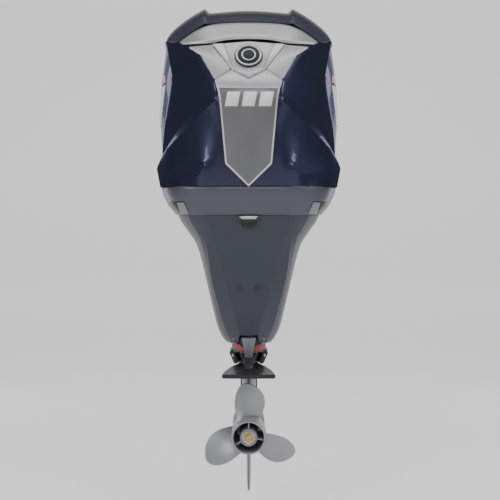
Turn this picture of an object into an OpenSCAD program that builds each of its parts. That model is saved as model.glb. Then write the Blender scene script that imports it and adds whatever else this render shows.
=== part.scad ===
// Outboard motor, 200 hp class, 20 inch transom.
// The origin is midway between the upper transom bolts, on the clamp brackets' forward face.
// +Y points forward to the boat, +X to starboard, +Z up.

/* [Transom] */
// Height of the transom's top edge over the upper bolts
transom_top = 51; // [45:1:60]
// Distance between the two upper transom bolts
upper_bolt_span = 327; // [320:1:335]
// Distance between the two lower transom bolts
lower_bolt_span = 251; // [245:1:257]
// Drop from the upper bolts to the lower bolts
bolt_drop = 203; // [195:1:210]
// Radius of a transom bolt hole
bolt_hole_r = 6.75; // [6.5:0.05:7.2]
// Vertical pitch of the spare bolt rows
bolt_pitch = 19; // [18:1:22]

/* [Axes] */
// Tilt axis, forward of the bracket face
tilt_y = 8; // [4:1:12]
// Tilt axis, over the upper bolts
tilt_z = 95; // [92:1:98]
// Steering axis behind the bracket face
steer_y = -150; // [-156:1:-148]
// Drive shaft axis behind the bracket face
drive_y = -305; // [-310:1:-300]
// Drag link bolt hole in the steering arm, forward of the bracket face
link_y = 60; // [50:1:70]
// Propeller shaft height
prop_z = -662; // [-668:1:-656]

/* [Propeller] */
// Tip radius of the blades
prop_r = 174; // [160:1:180]
// Number of blades
blade_count = 3; // [3:1:4]
// Radius of the hub's skirt
hub_r = 58; // [54:1:60]
// Plane of the blades
blade_y = -530; // [-536:1:-524]

/* [Cowls] */
// Wall of the plastic covers
wall = 5; // [4:0.5:6]
// Joint between the top and the lower cowl
cowl_joint_z = 190; // [186:1:194]
// Seam between the lower cowl and the apron
seam_z = 93; // [92:0.5:94]

/* [Hidden] */
$fn = 64;
RING = 48;              // points around each lofted section
gap = 0.4;              // space between bodies that move past each other
run = 0.05;             // radial clearance of a running fit

tube_r = 17;            // tilt tube outside
tube_bore_r = 8;        // tilt tube inside
plate_in = 100;         // clamp bracket's inner face
plate_t = 18;
flange_t = 14;
bracket_foot = -292;
pin_y = -48;            // lower pivot of the tilt ram
pin_z = -260;
pin_r = 9;
eye_y = -74;            // upper pivot of the tilt ram
eye_z = 25;
eye_r = 16;
ram_len = norm([eye_y - pin_y, eye_z - pin_z]);
ram_lean = atan2(pin_y - eye_y, eye_z - pin_z);
shaft_r = 20;           // steering shaft
swivel_top = 45;
swivel_foot = -270;
housing_w = 52;         // half width of the shaft housing
housing_front = -225;
housing_rear = -395;
housing_top = 96;
lobe_y = -395;          // rear end of the lobes that carry the red strips
pump_r = 34;
shift_y = -236;         // shift rod
housing_foot = -398;
mount_front = -190;
mount_z = [70, -312];   // upper and lower rubber mounts
mount_x = [48, 36];
mount_r = 19;
mount_bolt_r = 8;
plate_z = -457;         // underside of the anti-ventilation plate
plate_h = 11;
torpedo_r = 57;
torpedo_rear = -455;
gear_bore = 44;
prop_shaft_r = 12;

// ---- lofts -------------------------------------------------------------

function sgn(v) = v < 0 ? -1 : 1;
function soft(v, e) = sgn(v) * pow(abs(v), 2 / e);
// One section: half width, front and rear ends, and how square its corners are
function section(z, w, front, rear, e) = [
    for (i = [0 : RING - 1])
        let (t = 360 * i / RING)
        [w * soft(cos(t), e), (front + rear) / 2 + (front - rear) / 2 * soft(sin(t), e), z]
];
function loft_sides(count, start, flip) = [
    for (k = [0 : count - 2], i = [0 : RING - 1])
        let (a = start + k * RING + i, b = start + k * RING + (i + 1) % RING)
        flip ? [a, b, b + RING, a + RING] : [a, a + RING, b + RING, b]
];
function cap(start, flip) = [
    for (i = [0 : RING - 1]) flip ? start + i : start + RING - 1 - i
];
function rim(outer, inner, flip) = [
    for (i = [0 : RING - 1])
        let (j = (i + 1) % RING)
        flip ? [outer + i, outer + j, inner + j, inner + i] : [outer + i, inner + i, inner + j, outer + j]
];

// A closed loft through sections listed from the bottom up
module loft(rows) {
    n = len(rows);
    polyhedron(
        points = [for (r = rows) each section(r[0], r[1], r[2], r[3], r[4])],
        faces = concat([cap(0, true)], loft_sides(n, 0, false), [cap((n - 1) * RING, false)])
    );
}

// A shell with a rim at the bottom, and either a rim or a closed crown at the top
module loft_shell(rows, t, crown) {
    n = len(rows);
    m = n * RING;
    inner = [
        for (k = [0 : n - 1])
            let (r = rows[k], drop = crown && k > 0 ? t : 0)
            section(r[0] - drop, r[1] - t, r[2] - t, r[3] + t, r[4])
    ];
    points = concat([for (r = rows) each section(r[0], r[1], r[2], r[3], r[4])], [for (s = inner) each s]);
    top = crown
        ? [cap(m - RING, false), cap(2 * m - RING, true)]
        : rim(m - RING, 2 * m - RING, false);
    polyhedron(
        points = points,
        faces = concat(loft_sides(n, 0, false), loft_sides(n, m, true), rim(0, m, true), top)
    );
}

// ---- placing helpers ---------------------------------------------------

// A profile of [Y, Z] points, given its thickness from x0 to x1
module plate_x(x0, x1) {
    translate([x0, 0, 0]) rotate([90, 0, 90]) linear_extrude(x1 - x0) children();
}
module rod_x(y, z, x0, x1, r) {
    translate([x0, y, z]) rotate([0, 90, 0]) cylinder(r = r, h = x1 - x0);
}
module rod_y(x, z, y0, y1, r) {
    translate([x, y1, z]) rotate([90, 0, 0]) cylinder(r = r, h = y1 - y0);
}
module rod_z(x, y, z0, z1, r) {
    translate([x, y, z0]) cylinder(r = r, h = z1 - z0);
}
module box(x, y, z) {
    translate([x[0], y[0], z[0]]) cube([x[1] - x[0], y[1] - y[0], z[1] - z[0]]);
}
module both() {
    children();
    mirror([1, 0, 0]) children();
}
// A profile of [radius, Y] points, turned about the propeller axis
module turned_y() {
    translate([0, 0, prop_z]) rotate([-90, 0, 0]) rotate_extrude() children();
}

// ---- transom clamp -----------------------------------------------------

module clamp_bracket() {
    hole_reach = 40;
    flange_out = 190;
    lip = 45;
    flange_low = -56;
    difference() {
        union() {
            plate_x(plate_in, plate_in + plate_t) {
                translate([tilt_y, tilt_z]) circle(r = 30);
                polygon([
                    [0, transom_top], [0, -235], [-22, bracket_foot], [-72, bracket_foot],
                    [-84, -240], [-92, -60], [-62, 60], [tilt_y - 28, tilt_z + 8],
                    [tilt_y + 28, tilt_z - 10], [lip, transom_top + 12], [lip, transom_top]
                ]);
            }
            box([plate_in, flange_out], [-flange_t, 0], [flange_low, transom_top + 12]);
            box([plate_in, 150], [-flange_t, 0], [-235, flange_low]);
            box([plate_in, flange_out], [-flange_t, lip], [transom_top, transom_top + 12]);
            plate_x(flange_out - 10, flange_out)
                polygon([[-flange_t, -40], [-flange_t - 26, 0], [-flange_t - 26, 40], [-flange_t, 63]]);
        }
        for (row = [0 : 2]) {
            rod_y(upper_bolt_span / 2, -row * bolt_pitch, -hole_reach, 1, bolt_hole_r);
            rod_y(lower_bolt_span / 2, -bolt_drop + row * bolt_pitch, -hole_reach, 1, bolt_hole_r);
        }
        rod_x(tilt_y, tilt_z, plate_in - 1, plate_in + plate_t + 1, tube_r);
        rod_x(pin_y, pin_z, plate_in - 1, plate_in + plate_t + 1, pin_r);
    }
}
module clamp_bracket_stbd() {
    color("slategray") clamp_bracket();
}
module clamp_bracket_port() {
    color("slategray") mirror([1, 0, 0]) clamp_bracket();
}
module tilt_tube() {
    half = 160;
    color("silver") difference() {
        rod_x(tilt_y, tilt_z, -half, half, tube_r);
        rod_x(tilt_y, tilt_z, -half - 1, half + 1, tube_bore_r);
    }
}
module tilt_tube_nuts() {
    color("silver") both() difference() {
        translate([plate_in + plate_t, tilt_y, tilt_z]) rotate([0, 90, 0]) cylinder(r = 27, h = 20, $fn = 6);
        rod_x(tilt_y, tilt_z, plate_in, plate_in + 60, tube_r);
    }
}

// ---- power trim and tilt unit -----------------------------------------

module tilt_unit_body() {
    slot = 28;
    color("dimgray") difference() {
        box([-plate_in, plate_in], [-82, -18], [-291, -236]);
        box([-slot, slot], [-90, -10], [-281, -230]);
        rod_x(pin_y, pin_z, -plate_in - 1, plate_in + 1, pin_r);
    }
}
module tilt_pump_motor() {
    color("black") {
        rod_z(-66, -50, -236, -120, 28);
        rod_z(-66, -50, -120, -108, 22);
    }
}
module tilt_oil_reservoir() {
    color("dimgray") {
        rod_z(66, -50, -236, -128, 28);
        rod_z(66, -50, -128, -120, 12);
    }
}
module lower_pivot_pin() {
    color("silver") rod_x(pin_y, pin_z, -plate_in - plate_t, plate_in + plate_t, pin_r);
}
// Everything on the ram is drawn upright at the lower pivot, then leaned onto the upper one
module on_ram() {
    translate([0, pin_y, pin_z]) rotate([ram_lean, 0, 0]) children();
}
module tilt_ram_barrel() {
    barrel_top = ram_len - 42;
    bore_foot = 24;
    color("dimgray") on_ram() difference() {
        union() {
            rod_x(0, 0, -22, 22, 20);
            rod_z(0, 0, 12, barrel_top, 26);
        }
        rod_x(0, 0, -23, 23, pin_r + run);
        rod_z(0, 0, bore_foot, barrel_top - 20, 20);
        rod_z(0, 0, bore_foot, barrel_top + 1, 11 + run);
    }
}
module tilt_ram_rod() {
    piston_low = 34;
    color("silver") on_ram() difference() {
        union() {
            rod_z(0, 0, piston_low, ram_len - 6, 11);
            rod_z(0, 0, piston_low, piston_low + 18, 19.6);
            rod_x(0, ram_len, -20, 20, eye_r);
        }
        rod_x(0, ram_len, -21, 21, pin_r);
    }
}
module ram_upper_pin() {
    color("silver") on_ram() rod_x(0, ram_len, -40, 40, pin_r);
}

// ---- swivel bracket and steering --------------------------------------

module swivel_bracket() {
    cheek = [62, 86];
    tube_out = 38;
    color("slategray") difference() {
        union() {
            rod_z(0, steer_y, swivel_foot, swivel_top, tube_out);
            both() {
                plate_x(cheek[0], cheek[1]) {
                    translate([tilt_y, tilt_z]) circle(r = 28);
                    polygon([
                        [tilt_y - 26, tilt_z + 10], [-70, 72], [-108, 42], [-138, 40], [-138, -90],
                        [-118, -90], [-100, -40], [-44, 40], [tilt_y + 26, tilt_z - 12]
                    ]);
                }
                // Bosses that take the ends of the ram's upper pin
                rod_x(eye_y, eye_z, 41, cheek[0], 18);
            }
            // Web that ties both cheeks to the steering tube
            box([-cheek[1], cheek[1]], [-140, -122], [-90, swivel_top]);
            for (z = [-250, -170])
                rod_z(0, steer_y, z, z + 14, tube_out + 4);
        }
        rod_z(0, steer_y, swivel_foot - 1, swivel_top + 1, shaft_r + 4);
        rod_x(tilt_y, tilt_z, -cheek[1] - 1, cheek[1] + 1, tube_r + 4);
    }
}
module tilt_bushes() {
    color("white") both() difference() {
        union() {
            rod_x(tilt_y, tilt_z, 62, 86, tube_r + 4);
            rod_x(tilt_y, tilt_z, 86, plate_in - gap, tube_r + 9);
        }
        rod_x(tilt_y, tilt_z, 60, plate_in + 1, tube_r + run);
    }
}
module steering_bushes() {
    color("white") for (z = [swivel_foot, swivel_top - 60]) difference() {
        rod_z(0, steer_y, z, z + 60, shaft_r + 4);
        rod_z(0, steer_y, z - 1, z + 61, shaft_r + run);
    }
}
// Lever that props the motor up when it is left tilted
module tilt_support_lever() {
    reach = 62;
    color("dimgray") difference() {
        plate_x(88, 95) {
            translate([-56, 40]) circle(r = 13);
            translate([-56, 40 - reach]) circle(r = 9);
            polygon([[-66, 40], [-46, 40], [-48, 40 - reach], [-64, 40 - reach]]);
        }
        rod_x(-56, 40, 80, 99, 6);
    }
    color("dimgray") rod_x(-56, 40, 86, 98, 6 - run);
}
module mount_yoke(z, half_h, half_w) {
    rod_z(0, steer_y, z - half_h, z + half_h, 34);
    box([-half_w, half_w], [housing_front + 3, mount_front + 26], [z - half_h, z + half_h]);
}
module steering_shaft() {
    arm_z = [128, 142];
    root_r = 34;
    eye = 17;
    color("slategray") difference() {
        union() {
            rod_z(0, steer_y, -342, arm_z[1], shaft_r);
            mount_yoke(mount_z[0], 24, 78);
            mount_yoke(mount_z[1], 22, 60);
            translate([0, 0, arm_z[0]]) linear_extrude(arm_z[1] - arm_z[0]) {
                translate([0, steer_y]) circle(r = root_r);
                translate([0, link_y]) circle(r = eye);
                polygon([[-root_r, steer_y], [root_r, steer_y], [eye, link_y], [-eye, link_y]]);
            }
        }
        rod_z(0, link_y, arm_z[0] - 1, arm_z[1] + 1, 5);
        for (k = [0, 1]) both() {
            rod_y(mount_x[k], mount_z[k], housing_front, mount_front + 30, mount_r);
            // Room for the bolt's head
            rod_y(mount_x[k], mount_z[k], mount_front + 29, mount_front + 39, 14);
        }
    }
}
module rubber_mounts(k) {
    color("black") both() difference() {
        rod_y(mount_x[k], mount_z[k], housing_front + 1, mount_front + 26, mount_r);
        rod_y(mount_x[k], mount_z[k], housing_front, mount_front + 27, mount_bolt_r);
    }
}
module upper_mounts() { rubber_mounts(0); }
module lower_mounts() { rubber_mounts(1); }
module mount_bolts() {
    color("silver") for (k = [0, 1]) both() {
        rod_y(mount_x[k], mount_z[k], housing_front - 12, mount_front + 30, mount_bolt_r);
        translate([mount_x[k], mount_front + 38, mount_z[k]])
            rotate([90, 0, 0]) cylinder(r = 13, h = 12, $fn = 6);
    }
}

// ---- midsection --------------------------------------------------------

// Plan of the shaft housing: round nose, long tail
module housing_plan(inset) {
    nose_y = housing_front - housing_w;
    tail = 30;
    translate([0, nose_y]) circle(r = housing_w - inset);
    polygon([
        [-housing_w + inset, nose_y], [housing_w - inset, nose_y],
        [tail - inset, housing_rear + inset], [-tail + inset, housing_rear + inset]
    ]);
}
module shaft_housing() {
    floor_t = 10;
    top_t = 12;
    color("slategray") difference() {
        union() {
            translate([0, 0, housing_foot]) linear_extrude(housing_top - housing_foot) housing_plan(0);
            // Flat faces that the rubber mounts' bolts pull up against
            box([-66, 66], [-250, housing_front], [mount_z[0] - 22, mount_z[0] + 22]);
            box([-52, 52], [-250, housing_front], [mount_z[1] - 20, mount_z[1] + 20]);
            translate([0, 0, housing_top - top_t]) linear_extrude(top_t) scale([1.7, 1]) housing_plan(0);
            both() rod_y(44, -385.2, lobe_y, -250, 12.6);
        }
        translate([0, 0, housing_foot + floor_t]) linear_extrude(600) housing_plan(9);
        rod_z(0, drive_y, housing_foot - 1, housing_foot + floor_t + 1, pump_r + 1);
        rod_z(0, shift_y, housing_foot - 1, housing_foot + floor_t + 1, 7);
        for (k = [0, 1]) both()
            rod_y(mount_x[k], mount_z[k], housing_front - 13, -200, mount_bolt_r);
    }
}
module exhaust_guide() {
    color("silver") difference() {
        box([-112, 112], [-490, -216], [96, 122]);
        rod_z(0, drive_y, 90, 130, 17);
        box([-60, 60], [-460, -350], [90, 130]);
    }
}

// Sections of the apron: height, half width, front, rear, squareness
apron_rows = [
    [-372, 86, -240, -392, 2.3], [-324, 104, -216, -412, 2.4], [-240, 132, -205, -446, 2.4],
    [-120, 158, -196, -486, 2.4], [-20, 186, -190, -520, 2.4], [24, 214, -188, -536, 2.4],
    [70, 250, -186, -554, 2.6], [seam_z - 0.5, 256, -186, -560, 2.6]
];
tongue_top = -340;
module apron() {
    color("slategray") difference() {
        loft_shell(apron_rows, wall, false);
        box([-300, 300], [-236, 0], [-400, 100]);
        box([-60, 60], [-300, 0], [-400, 100]);
        // Arch over the tongue
        box([-37, 37], [-440, -370], [-400, tongue_top + 2]);
        // Half-round recess for the rear latch
        translate([0, -520, 84]) rotate([90, 0, 0]) cylinder(r = 38, h = 60);
        for (x = [-35, 35]) rod_y(x, -152, -520, -440, 6);
    }
}
module apron_screws() {
    color("dimgray") for (x = [-35, 35]) {
        rod_y(x, -152, -482, -440, 5.9);
        rod_y(x, -152, -486, -482, 9);
    }
}
module rear_tongue() {
    color("gray") plate_x(-17, 17)
        polygon([
            [housing_rear, -420], [housing_rear, tongue_top], [-416, tongue_top],
            [-424, -352], [-410, -372], [-406, -420]
        ]);
}
module red_strips() {
    strip = [34, 8, 14];
    color("firebrick") both() translate([36, lobe_y - strip[1] / 2, -382]) rotate([0, -28, 0])
        cube(strip, center = true);
}

// ---- gearcase ----------------------------------------------------------

module gearcase() {
    nose = -190;
    strut_w = 29;
    skeg_drop = 236;
    color("black") difference() {
        union() {
            // Torpedo: rounded nose, straight body
            turned_y() {
                intersection() {
                    translate([0, nose - torpedo_r]) scale([1, 1.35]) circle(r = torpedo_r);
                    translate([0, nose - torpedo_r]) square([100, 100]);
                }
                translate([0, torpedo_rear]) square([torpedo_r, nose - torpedo_r - torpedo_rear]);
            }
            // Strut from the torpedo to the shaft housing
            translate([0, 0, prop_z + 20]) linear_extrude(plate_z + 1 - prop_z - 20) strut_plan(strut_w);
            translate([0, 0, plate_z]) linear_extrude(plate_h) vent_plate_plan();
            translate([0, 0, plate_z]) linear_extrude(housing_foot - plate_z) housing_plan(0);
            plate_x(-6, 6) polygon([
                [-258, prop_z], [-300, prop_z - 150], [-372, prop_z - skeg_drop],
                [-412, prop_z - skeg_drop], [-440, prop_z - 120], [-440, prop_z]
            ]);
        }
        rod_y(0, prop_z, torpedo_rear - 1, -240, gear_bore);
        rod_z(0, drive_y, prop_z, -500, 30);
        rod_z(0, drive_y, -520, -440, 17);
        rod_z(0, drive_y, -440, housing_foot + 1, pump_r + 1);
        rod_z(0, shift_y, prop_z + 20, housing_foot + 1, 7);
        // Water passage behind the side screens
        both() box([18, 48], [-262, -228], [-560, -500]);
    }
}
module strut_plan(w) {
    translate([0, -250]) scale([1, 1.7]) circle(r = w);
    polygon([[-w, -250], [w, -250], [w, -330], [8, -452], [-8, -452], [-w, -330]]);
}
module vent_plate_plan() {
    half = 91;
    rear = -590;
    intersection() {
        translate([0, rear + 190]) circle(r = 190);
        translate([-half, rear]) square([2 * half, 260]);
    }
    polygon([[-half, -400], [half, -400], [60, -262], [-60, -262]]);
}
module trim_tab() {
    color("silver") plate_x(-8, 8)
        polygon([[-470, plate_z], [-560, plate_z], [-564, plate_z - 24], [-520, plate_z - 21]]);
}
module water_screens() {
    color("black") both() difference() {
        box([26, 31], [-260, -230], [-556, -504]);
        for (k = [0 : 4]) box([20, 40], [-257, -233], [-552 + k * 10, -547 + k * 10]);
    }
}
module bearing_carrier() {
    color("silver") difference() {
        union() {
            rod_y(0, prop_z, torpedo_rear + 4, -345, gear_bore - 0.1);
            rod_y(0, prop_z, torpedo_rear, torpedo_rear + 4, gear_bore - 0.1);
        }
        rod_y(0, prop_z, -500, -300, prop_shaft_r + run);
        rod_y(0, prop_z, -440, -368, 34);
    }
}
module water_pump() {
    color("black") difference() {
        rod_z(0, drive_y, -439, housing_foot + 34, pump_r);
        rod_z(0, drive_y, -500, -300, 12 + run);
        rod_z(0, drive_y, -430, -402, 27);
    }
}

// ---- gears and shafts --------------------------------------------------

module drive_shaft() {
    color("silver") {
        rod_z(0, drive_y, prop_z + 44, 640, 12);
        // Crank journals inside the block
        for (z = [180 : 90 : 450]) translate([0, drive_y - 14, z]) cylinder(r = 30, h = 24);
    }
}
module flywheel() {
    color("dimgray") difference() {
        union() {
            rod_z(0, drive_y, 590, 640, 40);
            rod_z(0, drive_y, 596, 626, 150);
        }
        rod_z(0, drive_y, 580, 650, 12);
        for (a = [0 : 60 : 300])
            rod_z(90 * cos(a), drive_y + 90 * sin(a), 590, 630, 18);
    }
}
module pinion() {
    color("silver") translate([0, drive_y, prop_z]) difference() {
        rotate_extrude() polygon([[12, 27], [14, 27], [21, 41], [21, 52], [12, 52]]);
        for (a = [0 : 360 / 13 : 359]) rotate([0, 0, a]) translate([20.2, -1.5, 25]) cube([5, 3, 30]);
    }
}
module side_gear() {
    difference() {
        rotate_extrude() polygon([[13, 19], [27, 19], [41, 27], [41, 38], [22, 48], [13, 48]]);
        for (a = [0 : 15 : 345]) rotate([0, 0, a]) translate([39.5, -1.6, 25]) cube([5, 3.2, 20]);
    }
}
module forward_gear() {
    color("silver") translate([0, drive_y, prop_z]) rotate([-90, 0, 0]) side_gear();
}
module reverse_gear() {
    color("silver") translate([0, drive_y, prop_z]) rotate([90, 0, 0]) intersection() {
        side_gear();
        translate([0, 0, -1]) cylinder(r = 60, h = 39);
    }
}
module clutch_dog() {
    color("silver") difference() {
        rod_y(0, prop_z, drive_y - 11, drive_y + 11, 21);
        rod_y(0, prop_z, drive_y - 12, drive_y + 12, prop_shaft_r + run);
    }
}
module shift_rod() {
    color("silver") rod_z(0, shift_y, prop_z + 50, -392, 5);
}
module prop_shaft() {
    color("silver") rod_y(0, prop_z, -612, -252, prop_shaft_r);
}

// ---- propeller ---------------------------------------------------------

// One blade: sections along its radius, each a thin lens set at the blade's pitch angle
blade_steps = 12;
blade_side = 10;
blade_pitch = 430;      // advance of a blade in one turn
function blade_chord(f) = 150 * pow(sin(20 + 152 * f), 0.62) * (1 - 0.12 * f);
function blade_point(f, s, face) =
    let (
        r = hub_r - 6 + (prop_r - hub_r + 6) * f,
        pitch = atan2(blade_pitch, 2 * PI * r),
        half = s * blade_chord(f) / 2,
        thick = face * (7.5 - 5 * f) * (1 - s * s) + face * 1.1,
        turn = half * cos(pitch) / r * 180 / PI + 26 * f * f,
        y = half * sin(pitch) + thick
    )
    [r * sin(turn), blade_y - y, r * cos(turn)];
module blade() {
    count = 2 * blade_side + 2;
    rows = [
        for (k = [0 : blade_steps])
            let (f = 0.985 * k / blade_steps)
            concat(
                [for (j = [0 : blade_side]) blade_point(f, -1 + 2 * j / blade_side, 1)],
                [for (j = [0 : blade_side]) blade_point(f, 1 - 2 * j / blade_side, -1)]
            )
    ];
    polyhedron(
        points = [for (r = rows) each r],
        faces = concat(
            [[for (i = [0 : count - 1]) i]],
            [for (k = [0 : blade_steps - 1], i = [0 : count - 1], half = [0, 1])
                let (a = k * count + i, b = k * count + (i + 1) % count)
                half == 0 ? [a, a + count, b + count] : [a, b + count, b]],
            [[for (i = [0 : count - 1]) (blade_steps + 1) * count - 1 - i]]
        )
    );
}
module propeller() {
    hub_front = -462;
    hub_rear = -598;
    color("gray") {
        difference() {
            turned_y() polygon([
                [hub_r - 2, hub_front], [hub_r + 1, -500], [hub_r - 1, hub_rear],
                [20, hub_rear], [20, hub_front]
            ]);
            rod_y(0, prop_z, hub_rear - 1, hub_front - 8, 50);
        }
        difference() {
            rod_y(0, prop_z, hub_rear + 4, hub_front - 8, 30);
            rod_y(0, prop_z, hub_rear, hub_front, 20);
        }
        for (a = [10, 130, 250]) translate([0, 0, prop_z]) rotate([0, a, 0])
            box([-3, 3], [hub_rear + 14, hub_front - 8], [28, 52]);
        for (k = [0 : blade_count - 1])
            translate([0, 0, prop_z]) rotate([0, k * 360 / blade_count, 0]) blade();
    }
}

// ---- powerhead ---------------------------------------------------------

module cylinder_block() {
    color("dimgray") difference() {
        union() {
            box([-118, 118], [-440, -216], [122, 560]);
            rod_z(0, drive_y, 122, 584, 84);
            for (z = [170 : 96 : 500]) box([-128, 128], [-500, -440], [z, z + 70]);
            box([-112, 112], [-500, -440], [140, 540]);
        }
        rod_z(0, drive_y, 120, 590, 13);
        translate([0, drive_y - 8, 170]) cylinder(r = 56, h = 330);
    }
}
module head_cover() {
    color("black") difference() {
        union() {
            box([-96, 96], [-556, -500], [150, 530]);
            rod_z(-48, -556, 160, 520, 26);
            rod_z(48, -556, 160, 520, 26);
        }
        box([-84, 84], [-540, -499], [162, 518]);
    }
}
module intake_manifold() {
    color("black") {
        box([150, 215], [-300, -60], [200, 540]);
        for (z = [220 : 88 : 490]) {
            rod_x(-380, z + 24, 118, 182, 20);
            rod_y(182, z + 24, -380, -300, 20);
        }
    }
}
module throttle_body() {
    color("silver") difference() {
        rod_z(182, -120, 540, 600, 40);
        rod_z(182, -120, 530, 601, 30.5);
        rod_y(182, 576, -170, -70, 4 + run);
    }
}
module throttle_plate() {
    color("goldenrod") {
        translate([182, -120, 576]) cylinder(r = 30, h = 2.4, center = true);
        rod_y(182, 576, -166, -74, 4);
    }
}
module starter_motor() {
    color("black") {
        rod_z(-160, -250, 380, 560, 38);
        rod_z(-160, -250, 560, 582, 16);
        box([-150, -118], [-280, -220], [400, 450]);
    }
}
module oil_filter() {
    color("white") {
        rod_y(-70, 250, -216, -120, 38);
        rod_y(-70, 250, -120, -108, 20);
    }
}
module engine_control_box() {
    color("black") box([-90, 90], [-216, -170], [330, 520]);
}
module flywheel_cover() {
    color("black") difference() {
        union() {
            rod_z(0, drive_y, 584, 656, 172);
            rod_z(0, drive_y, 656, 672, 120);
        }
        rod_z(0, drive_y, 583, 648, 160);
    }
}

// ---- lower cowl and what is on it -------------------------------------

lower_rows = [
    [seam_z, 258, 150, -562, 2.6], [120, 276, 168, -572, 2.6],
    [150, 296, 178, -584, 2.7], [cowl_joint_z - 1, 316, 188, -600, 2.8]
];
front_floor = 148;
grommet_x = 130;
grommet_z = 158;
latch_x = 273;          // pivot pin of a side latch
latch_y = -366;
latch_z = [104, 128];
latch_pin_r = 4.5;
switch_x = 303;
switch_y = [-270, -244];
switch_z = [160, 178];
// Ear that holds one end of a side latch's pin
module latch_lug(root, z0, z1) {
    translate([0, 0, z0]) linear_extrude(z1 - z0) {
        translate([latch_x, latch_y]) circle(r = 8);
        polygon([[root, latch_y - 10], [latch_x, latch_y - 8], [latch_x, latch_y + 8], [root, latch_y + 10]]);
    }
}
module lower_cowl() {
    color("slategray") difference() {
        union() {
            difference() {
                loft_shell(lower_rows, wall, false);
                box([-400, 400], [-232, 300], [80, front_floor]);
            }
            difference() {
                intersection() {
                    loft(lower_rows);
                    box([-400, 400], [-237, 300], [front_floor, front_floor + 5]);
                }
                box([-120, 120], [-240, -214], [140, 160]);
            }
            rod_y(grommet_x, grommet_z, 130, 192, 30);
            both() {
                latch_lug(246, 98, latch_z[0] - gap);
                latch_lug(264, latch_z[1] + gap, 134);
            }
        }
        rod_y(grommet_x, grommet_z, 120, 200, 25);
        both() rod_z(latch_x, latch_y, 96, 136, latch_pin_r + run);
        // Opening for the tilt switch
        box([280, 330], [switch_y[0] - 1, switch_y[1] + 1], [switch_z[0] - 3, switch_z[1] + 3]);
    }
}
module rear_latch() {
    color("gray") {
        difference() {
            translate([0, -556, 84]) rotate([90, 0, 0]) cylinder(r = 34, h = 8);
            box([-40, 40], [-580, -540], [84, 130]);
        }
        rod_x(-552, 78, -22, 22, 6);
    }
}
module side_latch() {
    color("gray") {
        box([latch_x - 4, latch_x + 4], [latch_y - 54, latch_y], [latch_z[0] + 2, latch_z[1] - 2]);
        rod_z(latch_x, latch_y, 98, 134, latch_pin_r);
    }
}
module side_latch_stbd() {
    side_latch();
}
module side_latch_port() {
    mirror([1, 0, 0]) side_latch();
}
module tilt_switch() {
    color("black") {
        box([switch_x - 3, switch_x + 3], switch_y, switch_z);
        rod_y(switch_x, (switch_z[0] + switch_z[1]) / 2, switch_y[0], switch_y[1], 4);
    }
}
module rigging_grommet() {
    color("black") difference() {
        union() {
            rod_y(grommet_x, grommet_z, 130, 192, 25);
            rod_y(grommet_x, grommet_z, 192, 198, 29);
        }
        rod_y(grommet_x, grommet_z, 120, 210, 20);
    }
}

// ---- top cowl ----------------------------------------------------------

cowl_rows = [
    [cowl_joint_z + 0.5, 317, 188, -600, 2.8], [262, 333, 196, -616, 2.8], [300, 316, 198, -624, 2.8],
    [420, 325, 198, -636, 2.7], [550, 325, 188, -640, 2.6], [640, 312, 166, -592, 2.6],
    [700, 298, 142, -560, 2.5], [752, 292, 108, -506, 2.5]
];
top_rows = [
    [752.5, 292, 108, -506, 2.5], [786, 258, 70, -462, 2.4],
    [820, 200, 10, -412, 2.3], [846, 120, -70, -350, 2.2], [857, 40, -160, -270, 2]
];
module top_cowl() {
    color("midnightblue") difference() {
        loft_shell(cowl_rows, wall, false);
        box([-95, 95], [-700, -560], [200, 690]);
    }
}
module cowl_visor() {
    color("slategray") loft_shell(top_rows, wall, true);
}
module tie_panel() {
    color("silver") plate_x(-94, 94)
        polygon([
            [-592, 201], [-624, 420], [-630, 550], [-566, 689],
            [-572, 689], [-638, 550], [-632, 420], [-600, 201]
        ]);
}
module crescent_trim() {
    color("silver") plate_x(-150, 150)
        polygon([[-556, 712], [-521, 750], [-515, 750], [-550, 712]]);
}
module rear_badge() {
    color("black") translate([0, -607, 630]) rotate([61, 0, 0]) cylinder(r = 46, h = 5);
}
module side_accents() {
    color("silver") both() box([325.2, 329], [-310, -210], [440, 560]);
}

clamp_bracket_port();
clamp_bracket_stbd();
tilt_tube();
tilt_tube_nuts();
tilt_unit_body();
tilt_pump_motor();
tilt_oil_reservoir();
lower_pivot_pin();
tilt_ram_barrel();
tilt_ram_rod();
ram_upper_pin();
swivel_bracket();
tilt_bushes();
steering_bushes();
tilt_support_lever();
steering_shaft();
upper_mounts();
lower_mounts();
mount_bolts();
shaft_housing();
exhaust_guide();
apron();
apron_screws();
rear_tongue();
red_strips();
gearcase();
trim_tab();
water_screens();
bearing_carrier();
water_pump();
cylinder_block();
head_cover();
intake_manifold();
throttle_body();
throttle_plate();
starter_motor();
oil_filter();
engine_control_box();
flywheel_cover();
lower_cowl();
rear_latch();
side_latch_port();
side_latch_stbd();
tilt_switch();
rigging_grommet();
top_cowl();
cowl_visor();
crescent_trim();
tie_panel();
rear_badge();
side_accents();
drive_shaft();
flywheel();
pinion();
forward_gear();
reverse_gear();
clutch_dog();
shift_rod();
propeller();
prop_shaft();
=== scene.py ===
# %% [markdown]
# # An outboard motor, seen from behind
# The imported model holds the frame: every bracket, shaft and casing at its real size, and every joint.
# This script gives that frame its skin. Working parts keep their own mesh and get a finish.
# Styled covers, the propeller and the gearcase are built again here with smooth surfaces.

# %% Load the frame
import bpy
import bmesh
import math
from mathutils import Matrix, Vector
from mathutils.bvhtree import BVHTree


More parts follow.
